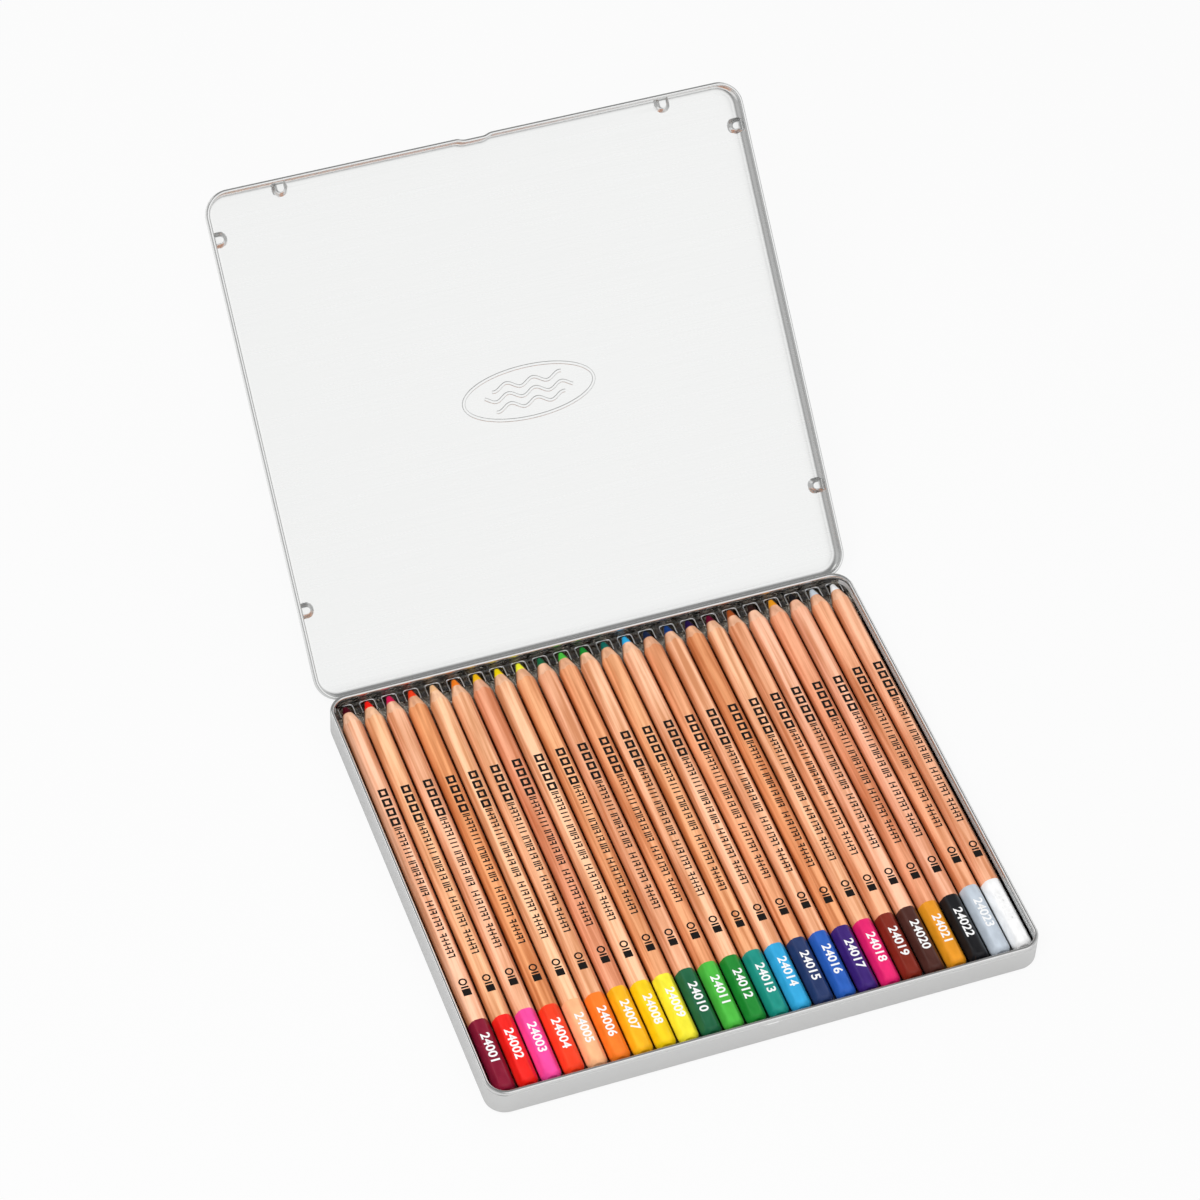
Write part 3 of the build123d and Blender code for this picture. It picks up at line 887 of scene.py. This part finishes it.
def lathe(name, place, radius, y, materials, slot, sharp_degrees, degrees=section_angle, **more):
    """A piece of the pencil at a place in the row, of rings along Y: x = middle + r cos(angle),
    z = axis + r sin(angle). A ring has one radius and y, or one for each point. Plates close the ends."""
    radius, y, angle = np.broadcast_arrays(radius, y, np.radians(degrees))
    points = np.stack([pencil_x[place] + radius * np.cos(angle), y, axis_z + radius * np.sin(angle)], axis=2)
    rings, sides_count = radius.shape
    faces = grid_faces(rings, sides_count, wrap_columns=True)
    ends = [np.arange(sides_count), (rings - 1) * sides_count + np.arange(sides_count)]
    return make_piece(
        name, points.reshape(-1, 3), faces, materials, f"pencil_{place + 1:02d}", slot, sharp_degrees,
        plates=ends, **more,
    )


corner_radius_here = hexagon(section_angle)
print("hexagon from", corner_radius_here.min().round(3), "to", corner_radius_here.max().round(3))

# %% [markdown]
# ## Cedar
#
# The barrels are clear-lacquered cedar, and no two have the same tone: some are pale peach, some
# orange, some nearly pink. The grain runs along the pencil as soft bands with short fine pores. Bands
# and pores are two noises drawn out along Y. The tone of each pencil is written into its mesh as a
# colour, so that one finish serves all of them. At mid height, where neighbours nearly touch, the
# wood turns a deeper brown. That is painted shade, standing in for the soft brown shade between real
# pencils. It is told by the height over the floor, and stays on a pencil that is lifted. The
# sharpened cone is the same wood without lacquer.


# %% Cedar, lacquered and bare
def cedar(name, lacquer):
    """The pencil's own tone, made deeper and paler by soft bands, deeper in short pores, and a deeper
    brown within 1.8 mm of the height of the pencils' axes: painted shade between neighbours."""
    material, tree, shader = finish_of(name)
    tone = add(tree, "ShaderNodeAttribute", attribute_name="tone").outputs["Color"]
    bands = streaks(tree, (1.9, 50, 1.9), 2.0)
    pores = streaks(tree, (0.22, 3.2, 0.22), 2.0)
    deep = blend_colours(tree, 1.0, tone, (0.72, 0.54, 0.40, 1), "MULTIPLY")
    pale = blend_colours(tree, 1.0, tone, (1.14, 1.16, 1.16, 1), "MULTIPLY")
    wood = blend_colours(tree, between(tree, bands, 0.0, 1.0, 0.34, 0.62), deep, pale)
    specks = between(tree, pores, 0.0, 0.30, 0.56, 0.78)
    wood = blend_colours(tree, specks, wood, deep)
    if not lacquer:
        wood = blend_colours(tree, 0.35, wood, (0.92, 0.64, 0.45, 1))
    place = add(tree, "ShaderNodeTexCoord").outputs["Object"]
    height = add(tree, "ShaderNodeSeparateXYZ", {0: place}).outputs["Z"]
    off_axis = calculate(tree, "ABSOLUTE", calculate(tree, "SUBTRACT", height, axis_z / 1000))
    # Painted shade: near the height of the axes, where neighbours nearly touch, the wood turns brown.
    painted_shade_brown = blend_colours(tree, 1.0, wood, (0.55, 0.36, 0.22, 1), "MULTIPLY")
    wood = blend_colours(tree, between(tree, off_axis, 0.0, 1.0, 0.0003, 0.0018), painted_shade_brown, wood)
    tree.links.new(wood, shader.inputs["Base Color"])
    shader.inputs["Specular IOR Level"].default_value = 0.25
    roughness = between(tree, pores, 0.30, 0.42) if lacquer else between(tree, pores, 0.62, 0.8)
    tree.links.new(roughness, shader.inputs["Roughness"])
    if lacquer:
        shader.inputs["Coat Weight"].default_value = 0.10
        shader.inputs["Coat Roughness"].default_value = 0.25
    bump(tree, shader, pores, 0.02, 0.35 if lacquer else 0.8)
    return material


cedar_lacquered = cedar("cedar_lacquered", True)
cedar_bare = cedar("cedar_bare", False)
tone_step = (0.15, 0.25, 0.20, 0.85, 0.10, 0.20, 0.75, 0.15, 0.60, 0.35, 0.70, 0.20,
             0.55, 0.15, 0.65, 0.30, 0.80, 0.25, 0.50, 0.20, 0.70, 0.35, 0.55, 0.30)
pinkness = (0.9, 0.2, 0.7, 0.0, 0.3, 0.4, 0.7, 0.4, 0.1, 0.6, 0.2, 0.5,
            0.1, 0.6, 0.3, 0.5, 0.1, 0.4, 0.5, 0.9, 0.6, 0.9, 0.5, 0.7)
light_cedar = np.array([0.96, 0.57, 0.32])
deep_cedar = np.array([0.77, 0.30, 0.115])
pink_shift = np.array([0.0, -0.015, 0.06])
print("cedar ready")

# %% [markdown]
# ## Barrels of wood
#
# The barrel runs from inside the dipped end to the cone. Each line along it ends where the hexagon
# meets the cone, which is further back at an edge than on a flat, and this draws the scallops. The
# cone's surface obeys radius = 0.3 times the distance from its apex, so one formula gives both.

# %% Build the barrels
butt_y, apex_y, cone_foot_y = -86.6, 91.067, 84.567
sharpening, lead_radius = 0.3, 1.95
dip_line = -60.0 + np.array([2.3, 1.5, 1.5, 0.6, 0.2, 0.3, 0.4, 0.1, 0.3, 0.0, 0.2, 0.4,
                             0.1, 0.3, 0.2, 0.4, 0.1, 0.3, 0.2, 0.5, 0.3, 0.6, 2.2, 2.3])
scallop_y = apex_y - corner_radius_here / sharpening
quarters = np.array([0.0, 0.25, 0.5, 0.75, 1.0])[:, None]
cone_y = scallop_y + quarters[1:] * (cone_foot_y - scallop_y)
cone_r = (apex_y - cone_y) * sharpening
barrel_r = np.broadcast_to(corner_radius_here, (len(quarters), len(section_angle)))
ring_r = np.concatenate([barrel_r, cone_r])
# Four bands of faces on the barrel are lacquered, and four on the cone are bare.
bare = np.repeat([0, 0, 0, 0, 1, 1, 1, 1], len(section_angle))
for place in range(pencil_count):
    start_y = dip_line[place] - 2.0
    barrel_y = start_y + quarters * (scallop_y - start_y)
    ring_y = np.concatenate([barrel_y, cone_y])
    tone = light_cedar + tone_step[place] * (deep_cedar - light_cedar) + pinkness[place] * pink_shift
    number = f"{place + 1:02d}"
    barrel = lathe(
        f"cedar_barrel_{number}", place, ring_r, ring_y, [cedar_lacquered, cedar_bare], "cedar", 16,
        colour=tone, finish=bare,
    )
    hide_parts(f"pencil_{number}_barrel")
print("barrels", pencil_count, "with", len(barrel.data.polygons), "faces each")

# %% [markdown]
# ## Dipped ends
#
# The last 27 mm of each pencil are dipped in paint of the pencil's colour. Paint rounds the edges,
# flows over the butt into a small dome, and leaves a lip where it stops on the wood. So the dip is a
# closed skin of its own: the hexagon is cut by a dome with a smooth minimum, and a thin film is added
# whose edge tapers to nothing. Paint is not quite even, and a faint noise in colour and gloss shows it.

# %% Build the dipped ends
paints = (
    ("burgundy", (0.24, 0.006, 0.030)), ("red", (0.88, 0.013, 0.008)), ("pink", (0.92, 0.065, 0.34)),
    ("scarlet", (0.92, 0.048, 0.011)), ("peach", (0.95, 0.48, 0.24)), ("orange", (0.93, 0.20, 0.016)),
    ("golden_yellow", (0.94, 0.47, 0.008)), ("yellow", (0.93, 0.62, 0.004)), ("lemon", (0.92, 0.82, 0.035)),
    ("dark_green", (0.012, 0.12, 0.05)), ("light_green", (0.07, 0.48, 0.05)), ("green", (0.012, 0.24, 0.03)),
    ("teal", (0.01, 0.28, 0.22)), ("sky_blue", (0.03, 0.38, 0.70)), ("navy", (0.02, 0.04, 0.13)),
    ("blue", (0.02, 0.11, 0.48)), ("violet", (0.045, 0.014, 0.17)), ("magenta", (0.80, 0.014, 0.155)),
    ("red_brown", (0.22, 0.020, 0.009)), ("dark_brown", (0.075, 0.023, 0.017)),
    ("ochre", (0.78, 0.30, 0.012)), ("black", (0.009, 0.009, 0.011)),
    ("light_grey", (0.52, 0.58, 0.65)), ("white", (0.90, 0.90, 0.90)),
)


def paint(name, colour):
    """Satin paint. One soft noise takes the colour from a tenth darker to a little lighter."""
    material, tree, shader = finish_of(name)
    flow = streaks(tree, (2.5, 6, 2.5), 2.0)
    darker = tuple(0.90 * c for c in colour) + (1,)
    lighter = tuple(min(1.0, 1.05 * c + 0.004) for c in colour) + (1,)
    tone = blend_colours(tree, between(tree, flow, 0.0, 1.0, 0.35, 0.65), darker, lighter)
    tree.links.new(tone, shader.inputs["Base Color"])
    tree.links.new(between(tree, flow, 0.26, 0.38), shader.inputs["Roughness"])
    shader.inputs["Specular IOR Level"].default_value = 0.25
    bump(tree, shader, flow, 0.012, 0.3)
    return material


def dome(distance):
    """Radius of the paint's rounding at a distance from the butt: 2.3 + 1.25 d - 0.23 d^2, then wider."""
    curve = 2.3 + 1.25 * distance - 0.23 * distance**2
    return np.where(distance < 2.6, curve, 4.0 + 2.0 * (distance - 2.6))


from_butt = np.array([0.0, 0.12, 0.3, 0.55, 0.85, 1.15, 1.5, 1.9, 2.3, 2.8, 3.6])
film = 0.06
soft_hexagon = hexagon(section_angle, flat_radius + film, 10)[None, :]
rounded = (soft_hexagon**-20 + dome(from_butt)[:, None] ** -20) ** (-1 / 20)
face_r = np.array([0.5, 0.8])[:, None] * rounded[:1]
lip_back = np.array([0.45, 0.22, 0.08, 0.0])
lip_film = np.array([0.06, 0.055, 0.035, -0.01]) - film
skin_r = np.concatenate([face_r, rounded] + [soft_hexagon + change for change in lip_film])
for place in range(pencil_count):
    skin_y = np.concatenate([[butt_y, butt_y], butt_y + from_butt, dip_line[place] - lip_back])
    number = f"{place + 1:02d}"
    name, colour = paints[place]
    lathe(
        f"dipped_end_{number}", place, skin_r, skin_y[:, None], [paint(f"paint_{name}", colour)],
        f"lead_{number}", 40,
    )
print("dipped ends", pencil_count)

# %% [markdown]
# ## Leads
#
# The pigment core shows only at the tip, where it carries on the wood's cone and ends in a blunt
# point. It is matter than the paint, often darker, and the sharpener leaves fine rings round it. A
# core that is not darker is painted a fifth lighter than its own colour: painted light against the
# shade that the lid and the rims cast on the tips. The core is a lathe shape of its own, and starts
# a few millimetres inside the wood so that no gap can show.

# %% Build the leads
darker_leads = {1: 0.35, 13: 0.55, 15: 0.5, 16: 0.45, 17: 0.4, 18: 0.18, 20: 0.4}
own_leads = {3: (0.62, 0.012, 0.085), 19: (0.36, 0.075, 0.016)}
lead_angle = np.arange(24) * 15.0
tip_y, blunt_length, blunt_drop = 88.4, 0.5, 0.65


def core(name, colour):
    """Matt pigment. A noise that is short along the pencil draws fine rings of a darker tone."""
    material, tree, shader = finish_of(name)
    rings = streaks(tree, (0.8, 0.12, 0.8), 2.0)
    darker = tuple(0.88 * c for c in colour) + (1,)
    tone = blend_colours(tree, between(tree, rings, 0.0, 1.0, 0.35, 0.65), darker, tuple(colour) + (1,))
    tree.links.new(tone, shader.inputs["Base Color"])
    tree.links.new(between(tree, rings, 0.45, 0.62), shader.inputs["Roughness"])
    shader.inputs["Specular IOR Level"].default_value = 0.12
    bump(tree, shader, rings, 0.02, 0.5)
    return material


core_y = np.linspace(cone_foot_y, tip_y - blunt_length, 6)
core_r = (apex_y - core_y) * sharpening
blunt = np.radians(np.array([20, 40, 60, 78, 90]))
blunt_r = core_r[-1] - blunt_drop * (1 - np.cos(blunt))
blunt_y = tip_y - blunt_length + blunt_length * np.sin(blunt)
lead_y = np.concatenate([[cone_foot_y - 3.0], core_y, blunt_y])[:, None]
lead_r = np.concatenate([[lead_radius - 0.1], core_r, blunt_r])[:, None]
for place in range(pencil_count):
    number = f"{place + 1:02d}"
    name, colour = paints[place]
    colour = own_leads.get(place + 1, colour)
    # Cores not listed as darker get 1.2 times their colour: painted light against the shade on the tips.
    colour = tuple(min(1.0, darker_leads.get(place + 1, 1.2) * c) for c in colour)
    lead = lathe(
        f"lead_core_{number}", place, lead_r, lead_y, [core(f"core_{name}", colour)],
        f"lead_{number}", 50, degrees=lead_angle,
    )
    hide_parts(f"pencil_{number}_lead")
print("leads", pencil_count)

# %% [markdown]
# ## Printing on the pencils
#
# Each dipped end carries a plain running number in white, read towards the butt. The wood carries
# plain black marks in line with it: a block and a ring, a long row of fine ticks, and four bold
# frames. Ink could be painted in a shader, but thin plates give it a clean edge at any size. Each
# plate on the wood stands two hundredths of a millimetre above the flat that it is printed on.

# %% Ink and plates
white_ink, tree, shader = finish_of("ink_white")
wear = streaks(tree, (0.5, 0.5, 0.5), 3.0)
tone = blend_colours(tree, wear, (0.80, 0.80, 0.80, 1), (0.95, 0.95, 0.95, 1))
tree.links.new(tone, shader.inputs["Base Color"])
tree.links.new(between(tree, wear, 0.35, 0.5), shader.inputs["Roughness"])
black_ink, tree, shader = finish_of("ink_black", Specular_IOR_Level=0.12)
wear = streaks(tree, (0.4, 0.4, 0.4), 3.0)
tone = blend_colours(tree, wear, (0.006, 0.005, 0.005, 1), (0.018, 0.014, 0.012, 1))
tree.links.new(tone, shader.inputs["Base Color"])
tree.links.new(between(tree, wear, 0.4, 0.55), shader.inputs["Roughness"])


def ink_mesh(name, outlines, bottom, top, material, body, slot):
    """Flat plates with upright edges: every outline is a list of corners (x, y) in millimetres."""
    points, faces, plates = [], [], []
    for outline in outlines:
        outline = np.asarray(outline)
        first, n = sum(map(len, points)), len(outline)
        points.append(np.column_stack([outline, np.full(n, bottom)]))
        points.append(np.column_stack([outline, np.full(n, top)]))
        around = np.arange(n)
        faces.append(first + np.stack([around, (around + 1) % n, (around + 1) % n + n, around + n], axis=1))
        plates += [first + around, first + n + around]
    return make_piece(name, np.concatenate(points), np.concatenate(faces), [material], body, slot, 30, plates)


print("white and black ink ready")

# %% [markdown]
# ## Marks on the wood
#
# All marks are made of straight bars and short quads, with x across the pencil and y from the edge of
# the dipped end. A tick is a stem, in most kinds with one or two strokes more, and its kind and its
# length are drawn by lot from a seeded generator. Every pencil gets the same row, moved to its place.


# %% Print the wood
def bar(x_from, x_to, y_from, y_to):
    """The four corners of an upright rectangle."""
    return [(x_from, y_from), (x_to, y_from), (x_to, y_to), (x_from, y_to)]


def ring_parts(middle_y, outer, inner, parts=24):
    """A ring cut into short quads, because a plate cannot have a hole."""
    angle = np.linspace(0, 2 * math.pi, parts + 1)
    outside = np.stack([outer * np.cos(angle), middle_y + outer * np.sin(angle)], axis=1)
    inside = np.stack([inner * np.cos(angle), middle_y + inner * np.sin(angle)], axis=1)
    return [np.array([outside[k], outside[k + 1], inside[k + 1], inside[k]]) for k in range(parts)]


def tick(kind, y, length):
    """A stem across the row. Kind 1 adds a stroke at its end, kind 2 one at its middle, kind 3 both,
    and kind 4 a second stem."""
    half, stroke = 1.3, 0.52
    strokes = [bar(-half, half, y, y + stroke)]
    if kind in (1, 3):
        strokes.append(bar(half - 0.5, half, y + stroke, y + length))
    if kind in (2, 3):
        strokes.append(bar(-0.3, 0.2, y + stroke, y + length))
    if kind == 4:
        strokes.append(bar(-half, half, y + length - stroke, y + length))
    return strokes


def frame_mark(y, length, half, stroke):
    """A bold open frame of four bars."""
    return [
        bar(-half, half, y, y + stroke), bar(-half, half, y + length - stroke, y + length),
        bar(-half, -half + stroke, y + stroke, y + length - stroke),
        bar(half - stroke, half, y + stroke, y + length - stroke),
    ]


chance = np.random.default_rng(24)
ticks_from, ticks_to, tick_gap, word_gap = 27.0, 81, 1.8, 1.3
ticks = []
y = ticks_from
while y < ticks_to:
    for _ in range(int(chance.integers(5, 10))):
        ticks.append((int(chance.integers(0, 5)), y, 1.3 + 0.15 * chance.random()))
        y += tick_gap
    y += word_gap
frames_from, frame_gap = 87.0, 4.5
marks = [bar(-1.45, 1.45, 10.3, 13.1), bar(-1.3, 1.3, 13.5, 14.2)] + ring_parts(16.1, 1.5, 0.9)
for kind, start, length in ticks:
    marks += tick(kind, start, length)
for k in range(4):
    marks += frame_mark(frames_from + frame_gap * k, 3.5, 1.6, 0.9)
wood_top = axis_z + flat_radius
for place in range(pencil_count):
    number = f"{place + 1:02d}"
    printed = [np.asarray(mark) + (pencil_x[place], dip_line[place]) for mark in marks]
    ink_mesh(
        f"wood_print_{number}", printed, wood_top - 0.01, wood_top + 0.02, black_ink,
        f"pencil_{number}", "lead_22",
    )
print("ticks in each long row", len(ticks))

# %% [markdown]
# ## Numbers
#
# A number is a text curve, and Blender can fill and thicken it on its own. Left as a curve it would
# carry its turn and place in the object, so it is made a mesh first, and its points are then laid
# along the pencil: the reading direction runs towards the butt and the tops point to the right.

# %% Build the numbers
number_back, number_stretch = 12.5, 1.2
number_z = wood_top + 0.065
for place in range(pencil_count):
    number = f"{place + 1:02d}"
    curve = bpy.data.curves.new("number", "FONT")
    curve.body = f"24{place + 1:03d}"
    curve.size = 4.3
    curve.align_x = "CENTER"
    curve.extrude = 0.015
    curve.offset = 0.09
    curve.resolution_u = 4
    text = bpy.data.objects.new("number", curve)
    bpy.context.collection.objects.link(text)
    bpy.context.view_layer.update()
    mesh = bpy.data.meshes.new_from_object(text.evaluated_get(bpy.context.evaluated_depsgraph_get()))
    flat = np.empty(len(mesh.vertices) * 3)
    mesh.vertices.foreach_get("co", flat)
    flat = flat.reshape(-1, 3)
    flat[:, 1] -= (flat[:, 1].min() + flat[:, 1].max()) / 2
    along = dip_line[place] - number_back - number_stretch * flat[:, 0]
    laid = np.stack([pencil_x[place] + flat[:, 1], along, number_z + flat[:, 2]], axis=1)
    mesh.vertices.foreach_set("co", (laid / 1000).ravel())
    mesh.materials.clear()
    mesh.materials.append(white_ink)
    mesh.update()
    bpy.data.objects.remove(text)
    printed = bpy.data.objects.new(f"number_{number}", mesh)
    bpy.context.collection.objects.link(printed)
    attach(printed, f"pencil_{number}")
print("numbers", pencil_count)
